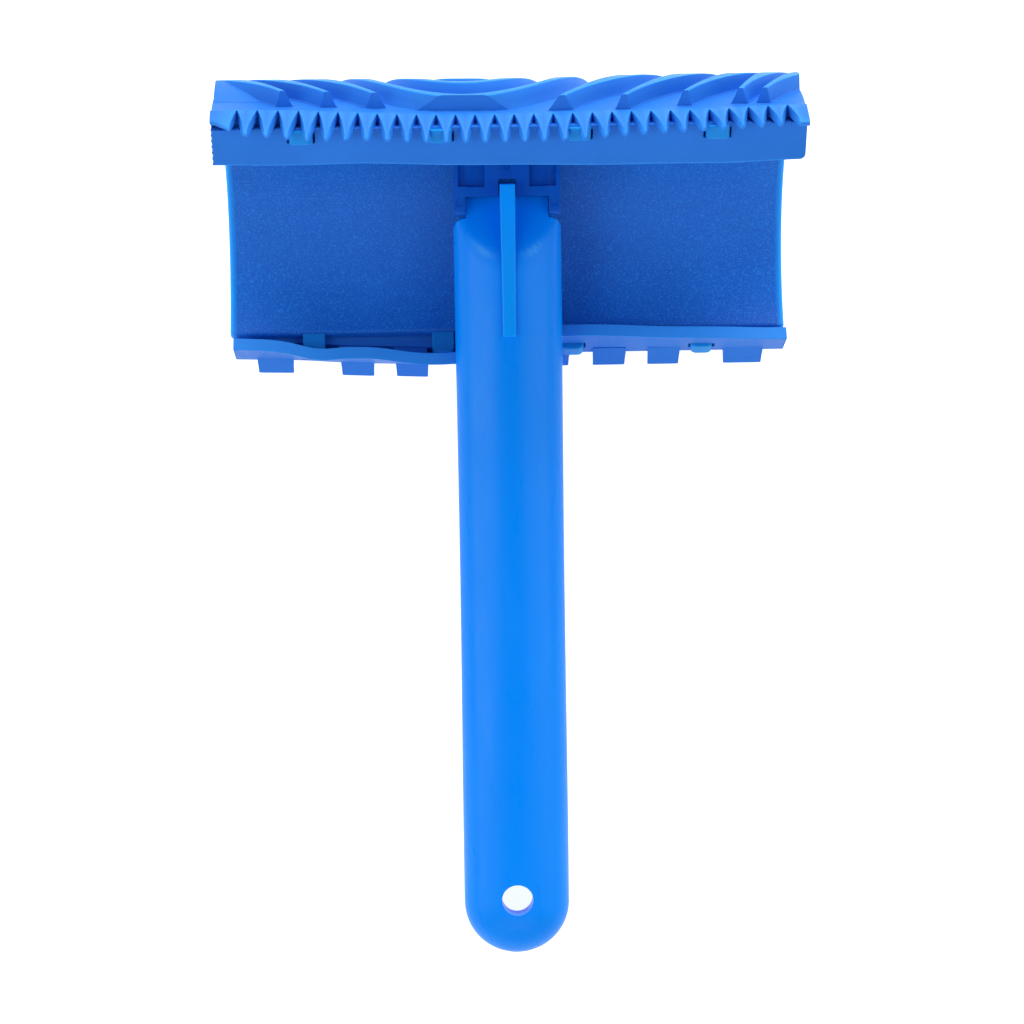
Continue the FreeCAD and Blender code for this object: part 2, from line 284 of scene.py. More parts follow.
# A paler blue for the handle's flow lines and for its painted highlights
HANDLE_FLOW_AND_PAINTED_HIGHLIGHT = (0.08, 0.40, 0.98)
# The gusset is the handle's plastic, painted paler for the light shining through the thin rib
GUSSET_PAINTED_LIGHT = (0.001, 0.30, 0.97)
GUSSET_PAINTED_LIGHT_DEEP = (0.0, 0.27, 0.93)
RUBBER = (0.022, 0.175, 0.66)
RUBBER_DEEP = (0.019, 0.160, 0.62)
RUBBER_DUST = (0.025, 0.19, 0.77)
# Painted highlight on the pad's crests and thin edges
RUBBER_PAINTED_HIGHLIGHT = (0.04, 0.34, 0.98)
PLASTIC_DEPTH_COLOUR = (0.2, 0.6, 1.0)


def principled(name):
    made = bpy.data.materials.new(name)
    made.use_nodes = True
    nodes = made.node_tree.nodes
    return made, made.node_tree, nodes["Principled BSDF"]


def noise(tree, scale, detail=3.0, rough=0.55, stretch=(1, 1, 1)):
    """A noise texture in the object's own metres."""
    nodes, links = tree.nodes, tree.links
    place = nodes.new("ShaderNodeTexCoord")
    mapping = nodes.new("ShaderNodeMapping")
    mapping.inputs["Scale"].default_value = stretch
    texture = nodes.new("ShaderNodeTexNoise")
    texture.inputs["Scale"].default_value = scale
    texture.inputs["Detail"].default_value = detail
    texture.inputs["Roughness"].default_value = rough
    links.new(place.outputs["Object"], mapping.inputs["Vector"])
    links.new(mapping.outputs["Vector"], texture.inputs["Vector"])
    return texture.outputs["Fac"]


def mapped(tree, value, low, high, to_low, to_high):
    node = tree.nodes.new("ShaderNodeMapRange")
    node.inputs["From Min"].default_value = low
    node.inputs["From Max"].default_value = high
    node.inputs["To Min"].default_value = to_low
    node.inputs["To Max"].default_value = to_high
    tree.links.new(value, node.inputs["Value"])
    return node.outputs["Result"]


def mixed(tree, factor, a, b):
    """Mixes two colours; each is a colour or the output of a node."""
    node = tree.nodes.new("ShaderNodeMix")
    node.data_type = "RGBA"
    tree.links.new(factor, node.inputs["Factor"])
    for socket, value in ((node.inputs["A"], a), (node.inputs["B"], b)):
        if isinstance(value, tuple):
            socket.default_value = (*value, 1.0)
        else:
            tree.links.new(value, socket)
    return node.outputs["Result"]


def bumped(tree, height, distance, strength):
    node = tree.nodes.new("ShaderNodeBump")
    node.inputs["Distance"].default_value = distance
    node.inputs["Strength"].default_value = strength
    tree.links.new(height, node.inputs["Height"])
    return node.outputs["Normal"]


def painted_light_mask(tree):
    """How much painted highlight a place has, from 0 to 1, as its mesh says."""
    node = tree.nodes.new("ShaderNodeAttribute")
    node.attribute_name = "painted_edge_light"
    return node.outputs["Fac"]


def translucent(shader, weight, depth):
    """Lets a little blue light through."""
    shader.inputs["Subsurface Weight"].default_value = weight
    shader.inputs["Subsurface Radius"].default_value = PLASTIC_DEPTH_COLOUR
    shader.inputs["Subsurface Scale"].default_value = depth


def painted_side_light(tree, from_x, to_x):
    """Where light is painted on: 0 in the middle of the head and 1 at its sides."""
    nodes, links = tree.nodes, tree.links
    place = nodes.new("ShaderNodeTexCoord")
    parts = nodes.new("ShaderNodeSeparateXYZ")
    size = nodes.new("ShaderNodeMath")
    size.operation = "ABSOLUTE"
    links.new(place.outputs["Object"], parts.inputs["Vector"])
    links.new(parts.outputs["X"], size.inputs[0])
    return mapped(tree, size.outputs["Value"], from_x * MM, to_x * MM, 0.0, 1.0)


def carrier_material():
    """Injection moulded plastic with a spark-eroded, finely frosted face, and painted light on its thin side
    edges.
    """
    made, tree, shader = principled("carrier_plastic")
    broad = noise(tree, 45.0, 4.0)
    speck = noise(tree, 2600.0, 2.0, 0.7)
    tone = mixed(tree, mapped(tree, broad, 0.35, 0.65, 0.0, 1.0), CARRIER_DEEP, CARRIER)
    sparkle = mixed(tree, mapped(tree, speck, 0.50, 0.68, 0.0, 0.8), tone, CARRIER_LIGHT)
    # Painted light along the thin side edges
    edge = mixed(tree, painted_side_light(tree, 60.8, 62.3), sparkle, CARRIER_PAINTED_SIDE_LIGHT)
    tree.links.new(edge, shader.inputs["Base Color"])
    tree.links.new(mapped(tree, speck, 0.3, 0.7, 0.42, 0.6), shader.inputs["Roughness"])
    tree.links.new(bumped(tree, speck, 0.0001, 0.7), shader.inputs["Normal"])
    shader.inputs["Specular IOR Level"].default_value = 0.25
    translucent(shader, 0.15, 1.5 * MM)
    return made


def handle_material(name, colour, deep, glow):
    """Glossy moulded plastic with faint flow lines along the grip, fine scuffs, and painted highlights where
    its mesh marks them.
    """
    made, tree, shader = principled(name)
    broad = noise(tree, 22.0, 3.0)
    flow = noise(tree, 160.0, 3.0, 0.5, (1.0, 0.06, 1.0))
    fine = noise(tree, 1500.0, 2.0)
    scuff = noise(tree, 260.0, 4.0, 0.6, (1.0, 0.25, 1.0))
    tone = mixed(tree, mapped(tree, broad, 0.35, 0.65, 0.0, 1.0), deep, colour)
    streaked = mixed(tree, mapped(tree, flow, 0.58, 0.8, 0.0, 0.1), tone, glow)
    # Painted highlight, where the mesh marks it
    lit = mixed(tree, painted_light_mask(tree), streaked, glow)
    tree.links.new(lit, shader.inputs["Base Color"])
    tree.links.new(mapped(tree, scuff, 0.3, 0.75, 0.24, 0.40), shader.inputs["Roughness"])
    tree.links.new(bumped(tree, fine, 0.00001, 0.35), shader.inputs["Normal"])
    shader.inputs["Specular IOR Level"].default_value = 0.13
    translucent(shader, 0.12, 2.0 * MM)
    return made


def rubber_material():
    """Matte soft rubber: slightly mottled, with painted highlights on its crests and thin edges, and a fine
    moulded skin.
    """
    made, tree, shader = principled("pad_rubber")
    broad = noise(tree, 70.0, 4.0)
    skin = noise(tree, 1900.0, 3.0, 0.6)
    dust = noise(tree, 420.0, 5.0, 0.7)
    tone = mixed(tree, mapped(tree, broad, 0.35, 0.68, 0.0, 1.0), RUBBER_DEEP, RUBBER)
    dusty = mixed(tree, mapped(tree, dust, 0.52, 0.75, 0.0, 0.22), tone, RUBBER_DUST)
    # Painted highlight on crests and thin edges, where the mesh marks it
    lit = mixed(tree, painted_light_mask(tree), dusty, RUBBER_PAINTED_HIGHLIGHT)
    tree.links.new(lit, shader.inputs["Base Color"])
    tree.links.new(mapped(tree, dust, 0.3, 0.7, 0.38, 0.56), shader.inputs["Roughness"])
    tree.links.new(bumped(tree, skin, 0.00004, 0.4), shader.inputs["Normal"])
    shader.inputs["Specular IOR Level"].default_value = 0.1
    return made


def floor_material():
    """A pale floor that glows enough to come out white."""
    made, tree, shader = principled("studio_floor")
    cloud = noise(tree, 3.0, 2.0)
    tone = mixed(tree, cloud, (0.50, 0.50, 0.50), (0.54, 0.54, 0.54))
    tree.links.new(tone, shader.inputs["Base Color"])
    shader.inputs["Roughness"].default_value = 0.9
    shader.inputs["Specular IOR Level"].default_value = 0.1
    shader.inputs["Emission Color"].default_value = (1.0, 1.0, 1.0, 1.0)
    shader.inputs["Emission Strength"].default_value = 0.9
    return made


def finish_piece(piece, material, body, slot, *nodes):
    piece.data.materials.clear()
    piece.data.materials.append(material)
    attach(piece, body)
    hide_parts(*nodes)


# ---------------------------------------------------------------- carrier


def carrier_shell():
    rows = spread(ARC_LOW, ARC_HIGH, 1.6)
    columns = spread(-HALF_WIDTH, HALF_WIDTH, 12.5)

    def place(x, angle, side):
        return head_point(SHELL_R_IN if side else SHELL_R_OUT, angle, 0, x)

    piece = slab("shell", columns, rows, place)
    bevel(piece, 0.7)
    return piece


def hooks(name, angle, outwards):
    """Four tongues with round ends, that carry the shell's plate on through the flange."""
    reach = (FLANGE_T + HOOK_PAST_FLANGE) * outwards
    outline = list(HOOK_OUTLINE) + [(-x, share) for x, share in reversed(HOOK_OUTLINE)]

    def side_of(x_hook, r, rise):
        return [head_point(r + rise * share, angle, share * reach, x_hook + x) for x, share in outline]

    points, faces, glow = [], [], []
    for x_hook in HOOKS_X:
        outer = side_of(x_hook, SHELL_R_OUT, BARB)
        inner = side_of(x_hook, SHELL_R_IN, HOOK_RISE_IN)
        start = len(points)
        both, made = thick_faces(outer, inner, [tuple(range(len(outline)))])
        points += both
        faces += [tuple(start + i for i in face) for face in made]
        # Painted highlight, paler towards each tongue's end
        glow += [0.7 * share for x, share in outline] * 2
    piece = new_piece(name, points, faces, glow)
    bevel(piece, 0.3)
    return piece


def from_cad(name, node, width, marks=(), pockets=()):
    """A copy of a CAD node with soft moulded edges, and round ejector marks sunk where asked."""
    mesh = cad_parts[node].data.copy()
    mesh.name = name
    piece = bpy.data.objects.new(name, mesh)
    bpy.context.collection.objects.link(piece)
    bm = bmesh.new()
    bm.from_mesh(mesh)
    bmesh.ops.remove_doubles(bm, verts=bm.verts, dist=0.002 * MM)
    if not marks and not pockets:
        bmesh.ops.dissolve_limit(bm, angle_limit=math.radians(1.0), verts=bm.verts, edges=bm.edges)
    bm.to_mesh(mesh)
    bm.free()
    for centre, size in pockets:
        widen_pocket(piece, centre, size)
    for centre, radius, depth in marks:
        sink_mark(piece, centre, radius, depth)
    mesh = piece.data
    mesh.shade_smooth()
    mesh.set_sharp_from_angle(angle=math.radians(30))
    if "painted_edge_light" not in mesh.attributes:
        mesh.attributes.new("painted_edge_light", "FLOAT", "POINT")
    bevel(piece, width)
    return piece


def sink_mark(piece, centre, radius, depth):
    """Cuts one shallow round mark, square to the handle's frame."""
    bm = bmesh.new()
    wide = radius * MM
    bmesh.ops.create_cone(
        bm, cap_ends=True, segments=40, radius1=wide, radius2=wide, depth=depth * 2 * MM
    )
    carve(piece, bm, centre)


def widen_pocket(piece, centre, size):
    """Cuts a block away, square to the handle's frame."""
    bm = bmesh.new()
    bmesh.ops.create_cube(bm, size=MM)
    bmesh.ops.scale(bm, vec=size, verts=bm.verts)
    carve(piece, bm, centre)


def carve(piece, bm, centre):
    """Takes the shape in bm away from the piece, with its middle at a place in the handle's frame."""
    mesh = bpy.data.meshes.new("mark")
    bm.to_mesh(mesh)
    bm.free()
    cutter = bpy.data.objects.new("mark", mesh)
    bpy.context.collection.objects.link(cutter)
    cutter.rotation_euler = (TILT, 0, 0)
    cutter.location = handle_point(*centre)
    cut = piece.modifiers.new("mark", "BOOLEAN")
    cut.object = cutter
    cut.operation = "DIFFERENCE"
    cut.solver = "EXACT"
    bpy.context.view_layer.update()
    graph = bpy.context.evaluated_depsgraph_get()
    carved = bpy.data.meshes.new_from_object(piece.evaluated_get(graph))
    piece.modifiers.clear()
    piece.data = carved
    bpy.data.objects.remove(cutter)


# ---------------------------------------------------------------- rubber pad


# In the functions of x below, each term is a size that comes in between two places across the head,
# or about one place. They were fitted to the photo.


def fall(high, low, value):
    """1 below low and 0 above high, with a soft step between."""
    return 1.0 - smooth(low, high, value)


def bump(x, centre, left, right):
    """1 at the centre, falling away over a different width on each side."""
    return math.exp(-((x - centre) / (left if x < centre else right)) ** 2)


def slip(x):
    """How far the lower left of the pad has sprung off its hooks, along the tangent."""
    left = mix(2.5, 0.5, fall(-16.0, -62.0, x)) + 0.08 * math.sin(x * 0.31)
    return left * fall(TIGHT_X, LOOSE_X, x)


def swing(x):
    """How far the lower flange's free edge leans outwards beyond its root."""
    left = mix(5.0, 2.7, fall(-14.0, -56.0, x))
    left += 1.5 * bump(x, -43.0, 5.5, 5.5) - 0.4 * bump(x, -29.0, 5.0, 5.0)
    right = mix(0.8, 2.3, smooth(10.0, 60.0, x))
    return mix(right, left, fall(TIGHT_X, LOOSE_X, x))


def drop(x):
    """How much closer to the arc's axis the upper part of the pad lies, where it is pulled tight."""
    return 0.36 + 0.45 * bump(x, 5.0, 36.0, 17.0)


def pad_place(r, angle, along, x):
    """A point on the pad as it sits on the carrier, tight at the top and loose at the lower left."""
    near = fall(LOOSE_ANGLE, ARC_LOW, angle)
    tight = drop(x) * smooth(*TIGHT_ANGLES, angle)
    return head_point(r - tight, angle, along - slip(x) * near * near, x + drawn_in(x) * near)


def drawn_in(x):
    """How far the loose lower left corner has moved towards the middle."""
    return fall(-48.0, -HALF_WIDTH, x)


def pad_sheet_parts():
    """The sheet itself, as points and faces."""
    rows = spread(ARC_LOW, ARC_HIGH, 1.9)
    columns = spread(-HALF_WIDTH, HALF_WIDTH, 2.5)
    outer = [pad_place(PAD_R, v, 0, u) for u in columns for v in rows]
    inner = [pad_place(PAD_R_IN, v, 0, u) for u in columns for v in rows]
    return thick_faces(outer, inner, grid_faces(len(columns), len(rows)))


def ridge_profile(tops, run, depth=RIDGE_ROOT, flare=1.0):
    """Points (sideways, height, painted highlight) across a ridge, from the half tops on its two sides.

    The flanks run out sideways by run, to a foot that flares out and goes on down to a depth in the sheet.
    """
    points = []
    for side, top in ((-1, tops[0]), (1, tops[1])):
        foot = top + run
        half = [
            (foot + 0.35 * flare, -depth, 0.0),
            (foot + 0.22 * flare, 0.06, 0.0),
            (foot, 0.28, 0.0),
            (mix(foot, top, 0.5), RIDGE_H * 0.5, 0.0),
            # The crest's edge is painted pale, as a highlight
            (mix(foot, top, 0.9), RIDGE_H - 0.30, 0.1),
            (top, RIDGE_H - 0.07, 0.9),
            (top * 0.8, RIDGE_H, 0.3),
        ]
        points += [(side * a, h, g) for a, h, g in (half if side < 0 else reversed(half))]
    return points


def path_normals(path):
    """Unit normals of a path in the unrolled sheet, one for each point."""
    normals = []
    last = len(path) - 1
    closed = (path[0] - path[-1]).length < 1e-6
    for i in range(len(path)):
        if closed:
            before = path[i - 1 if i else last - 1]
            after = path[i + 1 if i < last else 1]
        else:
            before = path[max(i - 1, 0)]
            after = path[min(i + 1, last)]
        way = (after - before).normalized()
        normals.append(Vector((-way.y, way.x)))
    return normals


def ridge(path, profiles, end, half_width, closed=False):
    """One raised line on the pad, swept along a path of (arc length, x) and trimmed at its ends and sides."""
    points, faces, glow = [], [], []
    ring = len(profiles[0])
    for centre, normal, profile in zip(path, path_normals(path), profiles):
        for side, height, shine in profile:
            place = centre + normal * side
            points.append((place.x, place.y, height))
            glow.append(shine)
    count = len(path) - 1 if closed else len(path)
    for i in range(count if closed else count - 1):
        a, b = i * ring, ((i + 1) % count) * ring
        for k in range(ring):
            n = (k + 1) % ring
            faces.append((a + k, a + n, b + n, b + k))
    if closed:
        points, glow = points[: count * ring], glow[: count * ring]
    else:
        faces.append(tuple(range(ring)))
        faces.append(tuple((count - 1) * ring + k for k in reversed(range(ring))))
    return trimmed(points, faces, glow, end, half_width)


def trimmed(points, faces, glow, end, half_width):
    """Cuts a solid of the unrolled sheet square at both ends and at the pad's sides, and rolls it up."""
    bm = bmesh.new()
    shine = bm.verts.layers.float.new("painted_edge_light")
    verts = [bm.verts.new(point) for point in points]
    for vert, value in zip(verts, glow):
        vert[shine] = value
    for face in faces:
        bm.faces.new([verts[i] for i in face])
    bmesh.ops.recalc_face_normals(bm, faces=bm.faces)
    cuts = (
        ((arc_length(RIDGE_LOW), 0, 0), (-1, 0, -RIDGE_END_LEAN)),
        ((arc_length(end), 0, 0), (1, 0, RIDGE_END_LEAN)),
        ((0, -half_width, 0), (0, -1, 0)),
        ((0, half_width, 0), (0, 1, 0)),
    )
    for place, way in cuts:
        whole = bm.verts[:] + bm.edges[:] + bm.faces[:]
        bmesh.ops.bisect_plane(bm, geom=whole, dist=1e-4, plane_co=place, plane_no=way, clear_outer=True)
        edges = [edge for edge in bm.edges if edge.is_boundary]
        if edges:
            bmesh.ops.holes_fill(bm, edges=edges, sides=0)
    dull_cut_faces(bm, shine, cuts)
    bm.verts.index_update()
    rolled = [pad_place(PAD_R + v.co.z, arc_angle(v.co.x), 0, v.co.y) for v in bm.verts]
    made = [tuple(v.index for v in face.verts) for face in bm.faces]
    values = [v[shine] for v in bm.verts]
    bm.free()
    return rolled, made, values


def dull_cut_faces(bm, shine, cuts):
    """Keeps the crest's painted highlight to a thin rim round the cut ends."""
    cut_faces = []
    for place, way in cuts:
        out = Vector(way).normalized()
        for face in bm.faces:
            off = (face.calc_center_median() - Vector(place)).dot(out)
            if abs(off) < 0.001 and face.normal.dot(out) > 0.999:
                cut_faces.append(face)
    bmesh.ops.inset_individual(bm, faces=cut_faces, thickness=CUT_RIM, use_even_offset=True)
    for face in cut_faces:
        for vert in face.verts:
            vert[shine] = 0.0


def arc_length(angle):
    return math.radians(angle) * PAD_R


def arc_angle(length):
    return math.degrees(length / PAD_R)


def bowed_x(low, middle, high, end, angle):
    """The sideways place of an open line, which starts straight and then bows out."""
    t = (angle - RIDGE_LOW - STRAIGHT_START) / (end - RIDGE_LOW - STRAIGHT_START)
    share = (t + math.sqrt(t * t + 0.004)) / 2
    away = 1 - abs(2 * share - 1) ** BOW_POWER
    return mix(low, high, share) + (middle - (low + high) / 2) * away


def open_ridge(low, middle, high, end, top, run, block, half_width, start=RIDGE_LOW - 3 * ROW_ANGLE):
    """A line from the lower edge to the comb: wide below, and wide again behind its crest."""
    path, profiles = [], []
    bows_right = middle >= (low + high) / 2
    for angle in spread(start, end + 3 * ROW_ANGLE, ROW_ANGLE):
        path.append(Vector((arc_length(angle), bowed_x(low, middle, high, end, angle))))
        share = (angle - RIDGE_LOW) / (end - RIDGE_LOW)
        near = mix(block, top, smooth(0.0, 0.6, share))
        far = mix(block, mix(BACK_HALF, top, smooth(0.76, 1.0, share)), smooth(0.0, 0.5, share))
        tops = (near, far) if bows_right else (far, near)
        flank = mix(0.08, run, smooth(0.0, 1.0, share))
        deep = mix(2.4, RIDGE_ROOT, smooth(-10.0, 20.0, angle))
        profiles.append(ridge_profile(tops, flank, deep, mix(0.2, 1.0, share)))
    return ridge(path, profiles, end, half_width)


def oval_ridge(x_mid, angle_mid, half_width, half_angle, steps=120):
    """A closed line, narrow where it turns below the comb and wider behind."""
    path, profiles = [], []
    for i in range(steps + 1):
        t = 2 * math.pi * i / steps
        angle = angle_mid + half_angle * math.cos(t)
        path.append(Vector((arc_length(angle), x_mid + half_width * math.sin(t))))
        wide = mix(3.3, 0.6, smooth(91.0, 112.0, angle))
        profiles.append(ridge_profile((0.6, wide), 1.7))
    path[-1] = path[0].copy()
    return ridge(path, profiles, OVAL_END, RIDGE_SIDE, closed=True)


def corner_rise(line):
    """The raised corner between the outermost left line and the pad's side."""
    low, middle, high, end = line[:4]
    angles = []
    for angle in spread(60.0, CORNER_FOOT, ROW_ANGLE):
        if bowed_x(low, middle, high, end, angle) > 1.0 - RIDGE_SIDE:
            angles.append(angle)
    shares = spread(0.0, 1.0, 0.25)
    outer, inner = [], []
    for angle in angles:
        height = (RIDGE_H - 0.05) * min(1.0, max(0.01, (CORNER_FOOT - angle) / (CORNER_FOOT - CORNER_TOP)))
        right = bowed_x(low, middle, high, end, angle) - 0.3
        for share in shares:
            x = mix(-RIDGE_SIDE - SIDE_STEP, right, share)
            outer.append(pad_place(PAD_R + height, angle, 0, x))
            inner.append(pad_place(PAD_R - RIDGE_ROOT, angle, 0, x))
    points, made = thick_faces(outer, inner, grid_faces(len(angles), len(shares)))
    return points, made, [0.0] * len(points)


# Each open line: x at the lower edge, half way and at the comb; the angle of its end there; and
# half the width of its top and the run of its flanks at that end, and half its width at the lower edge
OPEN_LINES = (
    (-52.3, -70.0, -47.3, 118.0, 0.4, 0.8, 4.3),
    (-33.2, -61.0, -38.0, 119.0, 0.35, 0.8, 3.6),
    (-20.9, -50.0, -28.0, 120.1, 0.4, 1.05, 3.5),
    (9.5, 36.0, 11.0, 123.3, 0.45, 1.3, 3.5),
    (22.2, 47.5, 24.0, 124.2, 0.4, 0.7, 3.6),
    (34.6, 58.0, 37.0, 122.3, 0.4, 0.7, 3.5),
    (53.0, 62.0, 48.7, 121.3, 0.4, 1.1, 4.3),
)
CORNER_LINE = (72.0, 74.0, 53.8, 121.1, 0.4, 0.8, 3.4)

# Closed ovals inside them: x of the middle, its angle, half width, half length as an angle
OVALS = (
    (-9.6, 52.0, 30.0, 69.8),
    (-9.8, 50.0, 20.0, 58.5),
    (-9.6, 50.0, 11.0, 47.0),
)


def graining_pad():
    points, faces = pad_sheet_parts()
    glow = [0.0] * len(points)
    # The cut sides lie a little apart, so that no two of them share a plane
    made = [open_ridge(*line, RIDGE_SIDE - SIDE_STEP * i) for i, line in enumerate(OPEN_LINES)]
    made.append(open_ridge(*CORNER_LINE, RIDGE_SIDE + SIDE_STEP, 40.0))
    made += [oval_ridge(*oval) for oval in OVALS]
    made.append(corner_rise(OPEN_LINES[0]))
    for ridge_points, ridge_faces, ridge_glow in made:
        start = len(points)
        points += ridge_points
        glow += ridge_glow
        faces += [tuple(start + i for i in face) for face in ridge_faces]
    return new_piece("pad_grain_sheet", points, faces, glow, 18.0)


def flange_depth(x):
    """How much further in the upper flange hangs than its nominal edge."""
    right_end = 0.5 * smooth(42.0, 60.0, x)
    return 0.25 + 0.95 * smooth(-35.0, 10.0, x) + 0.2 * bump(x, 38.0, 12.0, 12.0) - right_end


def flange(name, angle, r_in, outwards):
    """A turned-in edge of the pad, with slots for the hooks.

    outwards is 1 for the upper edge, which sits tight, and -1 for the lower one, which is loose on the left.
    """
    breaks = [x + s * SLOT_HALF for x in HOOKS_X for s in (-1, 1)]
    corner = [HALF_WIDTH - CORNER_R * (1 - t) for t in (0.0, 0.4, 0.7, 0.9)]
    columns = with_breaks(-HALF_WIDTH, HALF_WIDTH, FLANGE_COLUMN, breaks + corner)
    is_upper = outwards > 0
    r_root = UPPER_ROOT_R if is_upper else PAD_R
    rows = with_breaks(r_in, r_root, FLANGE_ROW, SLOT_R)

    def place(x, r, side):
        along = FLANGE_T * outwards * (1 - side)
        return tight_place(x, r, side, along) if is_upper else loose_place(x, r, along)

    def tight_place(x, r, side, along):
        """On the upper edge: jagged at its left end, rounded at its right corner, undercut at its root."""
        jag = 0.22 * (1 + math.sin(r * 4.65)) if x < 0.5 - HALF_WIDTH else 0.0
        sway = 0.12 * math.sin(x * 0.19 + 1.0) * smooth(32.0, r_in, r)
        undercut = 0.8 * side if r > r_root - 0.01 else 0.0
        t = max(0.0, (x - HALF_WIDTH) / CORNER_R + 1)
        deeper = flange_depth(x) - CORNER_R * (1 - math.sqrt(1 - min(t, 1.0) ** 2))
        hang = deeper * (SLOT_R[0] - min(r, SLOT_R[0])) / (SLOT_R[0] - r_in)
        return head_point(r + sway - undercut - hang, angle, along, x + jag)

    def loose_place(x, r, along):
        """On the lower edge: moved along with the sheet, and leaning outwards."""
        open_share = (PAD_R - r) / (PAD_R - r_in)
        ripple = 0.18 * math.sin(x * 0.23) * open_share
        moved = -slip(x) - swing(x) * open_share
        return head_point(r + ripple, angle, along + moved, x + drawn_in(x))

    def present(i, j):
        x = (columns[i] + columns[i + 1]) / 2
        r = (rows[j] + rows[j + 1]) / 2
        in_slot = any(abs(x - hook) < SLOT_HALF for hook in HOOKS_X)
        return not (in_slot and SLOT_R[0] < r < SLOT_R[1])

    # Painted highlight along the flange's free edge
    def glow(x, r, side):
        return 0.55 if r < r_in + 0.01 else 0.0

    piece = slab(name, columns, rows, place, present, glow)
    bevel(piece, 0.3, 2)
    return piece


def comb_lean(x):
    """The lip's root radius, turn, length and sideways skew at a place across the head."""
    lift = 0.3 + 1.45 * fall(-14.0, -56.0, x) + 0.9 * smooth(38.0, 60.0, x)
    root = PAD_R - drop(x) + lift
    turn = mix(10.0, 15.0, smooth(-58.0, -8.0, x)) - 15.5 * smooth(0.0, 46.0, x)
    length = 7.45 + bump(x, -40.0, 8.0, 7.0) - 0.25 * smooth(16.0, 30.0, x) - 0.3 * fall(-50.0, -60.0, x)
    skew = 0.55 * smooth(4.0, 22.0, x) - 0.45 * smooth(46.0, 62.0, x) - 0.3 * fall(-24.0, -34.0, x)
    return root, turn, length, skew


def gap_shift(x):
    """How far a gap of the comb lies to the right of its even place."""
    return 1.34 - 0.007 * max(x + 40.0, 0.0) - 0.042 * max(-46.0 - x, 0.0)


def left_block(x, edge, first_gap):
    """The share of the full length that the plain block at the comb's left end has."""
    if x > first_gap + 0.01 or (edge > 0 and x > first_gap - 0.01):
        return 1.0
    return mix(0.45, 0.78, smooth(-HALF_WIDTH, first_gap, x))


def comb_profile(x, block=1.0):
    """Points (outer, inner, share of the tooth) down the lip at a place across the head."""
    root, turn, length, skew = comb_lean(x)
    outwards, along = head_vector(ARC_HIGH + turn)
    rows = []
    r_low = PAD_R - drop(x)
    for rise, depth, angle, share in ROOT_ROWS:
        r_out = mix(r_low, root, rise)
        rows.append((head_point(r_out, angle), head_point(r_low - depth, angle + 0.6), share))
    apex = head_point(root, ARC_HIGH)
    for share in TOOTH_ROWS:
        outer = apex + along * length * share * block * MM
        thick = mix(2.4, 1.4, share ** 0.7) if share < 1 else 0.9
        round_tip = 0.35 * smooth(0.8, 1.0, share)
        rows.append((outer - outwards * round_tip * MM, outer - outwards * thick * MM, share))
    return rows, skew


def comb():
    """The toothed lip.

    A column is (x, side of its gap or 0, a random draw). The draw only keeps the later ones in order.
    """
    shares = [row[2] for row in comb_profile(0.0)[0]]
    half_gap = COMB_PITCH / 2 - TIP_HALF
    centres = [(i - (COMB_GAPS - 1) / 2) * COMB_PITCH for i in range(COMB_GAPS)]
    centres = [x + gap_shift(x) for x in centres]
    columns = [(-HALF_WIDTH, 0, 0.0), (-HALF_WIDTH + COMB_END, 0, 0.0)]
    for k, centre in enumerate(centres):
        columns += [(centre, -1, 0.0), (centre, 1, 0.0)]
        if k < COMB_GAPS - 1:
            columns.append((centre + COMB_PITCH / 2, 0, rng.uniform(-1, 1)))
    columns += [(HALF_WIDTH - COMB_END, 0, 0.0), (HALF_WIDTH, 0, 0.0)]
    quirks = [rng.uniform(-0.12, 0.12) for i in range(COMB_GAPS + 1)]

    def place(column, row, side):
        centre, edge, _ = column
        in_teeth = abs(centre) < HALF_WIDTH - COMB_END_ZONE
        block = left_block(centre, edge, centres[0])
        lines, skew = comb_profile(centre, block)
        outer, inner, share = lines[row]
        open_share = max(share, 0.0)
        tooth = min(max(round((centre + edge * 0.6 - centres[0]) / COMB_PITCH + 0.5), 0), COMB_GAPS)
        opened = 1 - (1 - open_share) ** 1.6
        reach = half_gap * (0.55 if edge < 0 and centre < centres[0] + 0.01 else 1.0)
        x = centre + edge * mix(0.07, reach, opened * (1 - 0.5 * side * (1 - open_share ** 3)))
        x += (skew + quirks[tooth]) * open_share if in_teeth else 0.0
        point = inner if side else outer
        if edge == 0 and in_teeth:
            lift = 0.12 * (1 - abs(open_share - 0.4))
            point = point + (outer - inner).normalized() * lift * MM * (1 - side)
        return point + Vector((x, 0, 0)) * MM

    def present(i, j):
        is_gap = columns[i][1] == -1 and columns[i + 1][1] == 1
        return not (is_gap and shares[j] >= 0.0)

    # Painted highlights on the teeth's sides, growing towards their tips
    def glow(column, row, side):
        share = shares[row]
        edge = 0.35 if column[1] else 0.0
        return (edge + 0.3 * smooth(0.6, 1.0, share)) * (1 - 0.6 * side) if share >= 0 else 0.0

    piece = slab("pad_comb_lip", columns, list(range(len(shares))), place, present, glow)
    bevel(piece, 0.09, 2, 50.0)
    return piece


# ---------------------------------------------------------------- handle


def half_width_at(y):
    """Half the grip's width in plan, with its slight waist, round shoulders and neck."""
    waist = 0.22 * math.sin(math.pi * smooth(-125.0, 20.0, y))
    if y < SHOULDER_Y:
        return GRIP_HALF - waist
    if y > SHOULDER_Y + SHOULDER_R:
        return NECK_HALF
    return NECK_HALF + math.sqrt(max(SHOULDER_R ** 2 - (y - SHOULDER_Y) ** 2, 0.0))


def soft_min(a, b, k):
    """The smaller of two heights, rounded over where they cross."""
    h = max(k - abs(a - b), 0.0) / k
    return min(a, b) - h * h * k / 4


